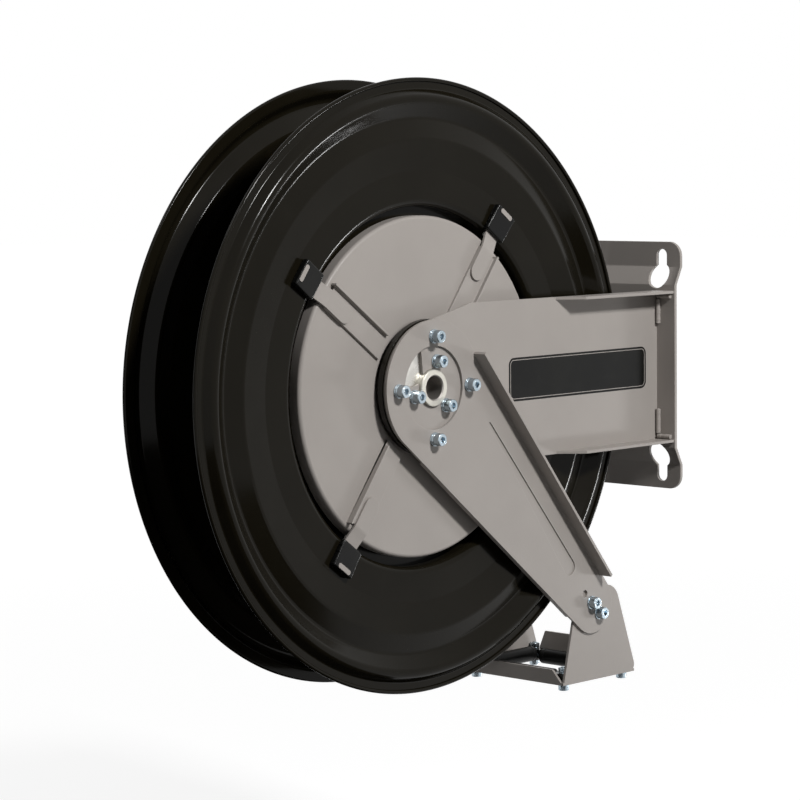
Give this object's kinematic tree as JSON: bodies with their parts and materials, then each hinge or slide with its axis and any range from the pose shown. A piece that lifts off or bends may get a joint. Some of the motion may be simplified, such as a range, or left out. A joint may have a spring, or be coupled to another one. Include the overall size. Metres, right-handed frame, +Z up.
{
  "type": "hose reel",
  "caption": "Wall-mounted spring-rewind hose reel: open pressed drum between two channel arms, cranked wall plate with keyholes, diagonal guide arms and a roller hose guide.",
  "frame": {"origin": "centre of the wall plate on the wall face, level with the axle", "axes": "+X along the axle towards the inlet side, +Y into the wall, +Z up"},
  "size_m": [0.194, 0.695, 0.659],
  "materials": {
    "grey_paint": "satin warm grey powder coat",
    "disc_paint": "satin warm grey paint",
    "black_paint": "glossy black paint",
    "zinc": "bright zinc plating",
    "black_plastic": "black moulded plastic",
    "roller_plastic": "black nylon",
    "machined_steel": "turned steel",
    "hub_flange_steel": "turned steel, blacked edge",
    "brass": "machined brass",
    "bronze": "sintered bronze",
    "rubber": "matt",
    "spring_steel": "blued spring steel"
  },
  "bodies": {
    "frame": {"wall_plate": "grey_paint", "main_arm_inlet": "grey_paint", "main_arm_far": "grey_paint", "arm_welds": "grey_paint", "hub_flange_inlet": "hub_flange_steel", "hub_flange_far": "hub_flange_steel", "hollow_axle": "machined_steel", "guide_arm_inlet": "grey_paint", "guide_arm_far": "grey_paint", "hub_screws": "zinc", "hub_washers": "zinc", "hub_spring_washers": "zinc", "guide_screws": "zinc", "guide_washers": "zinc", "guide_nuts": "zinc", "hose_guide": "grey_paint", "corner_blocks": "black_plastic", "corner_screws": "zinc", "corner_washers": "zinc", "corner_nuts": "zinc", "cross_roller_pins": "zinc", "side_roller_pins": "zinc", "thrust_ring_inlet": "black_plastic", "thrust_ring_far": "black_plastic", "pawl_pin": "zinc", "pawl_clip": "spring_steel", "pawl_spring": "spring_steel", "swivel_seals": "rubber", "spring_anchor": "machined_steel"},
    "drum": {"drum_flange_inlet": "black_paint", "drum_flange_far": "black_paint", "side_disc_inlet": "disc_paint", "side_disc_far": "disc_paint", "spring_case": "black_paint", "spokes_inlet": "disc_paint", "straps_inlet": "disc_paint", "end_caps_inlet": "black_plastic", "spokes_far": "disc_paint", "straps_far": "disc_paint", "end_caps_far": "black_plastic", "bush_inlet": "bronze", "bush_far": "bronze", "main_spring": "spring_steel", "swivel_body": "brass", "swivel_screws": "zinc", "outlet_pipe": "machined_steel", "hose_coupling": "brass", "ratchet_wheel": "machined_steel"},
    "front_roller": {"roller_front": "roller_plastic"},
    "rear_roller": {"roller_rear": "roller_plastic"},
    "inlet_side_roller": {"roller_inlet_side": "roller_plastic"},
    "far_side_roller": {"roller_far_side": "roller_plastic"},
    "pawl": {"pawl": "machined_steel"}
  },
  "joints": [
    {"name": "drum_spin", "type": "hinge", "parent": "frame", "child": "drum", "pos_m": [0.008, -0.38, 0], "axis": [1, 0, 0], "continuous": true},
    {"name": "front_roller_spin", "type": "hinge", "parent": "frame", "child": "front_roller", "pos_m": [0, -0.1615, -0.3315], "axis": [1, 0, 0], "continuous": true},
    {"name": "rear_roller_spin", "type": "hinge", "parent": "frame", "child": "rear_roller", "pos_m": [0, -0.0735, -0.3315], "axis": [1, 0, 0], "continuous": true},
    {"name": "inlet_side_roller_spin", "type": "hinge", "parent": "frame", "child": "inlet_side_roller", "pos_m": [0.0565, -0.1175, -0.329], "axis": [0, 1, 0], "continuous": true},
    {"name": "far_side_roller_spin", "type": "hinge", "parent": "frame", "child": "far_side_roller", "pos_m": [-0.0565, -0.1175, -0.329], "axis": [0, 1, 0], "continuous": true},
    {"name": "pawl_pivot", "type": "hinge", "parent": "frame", "child": "pawl", "pos_m": [-0.0555, -0.3, 0], "axis": [1, 0, 0], "range_deg": [0, 30], "stiffness_Nm_per_rad": 0.05}
  ]
}
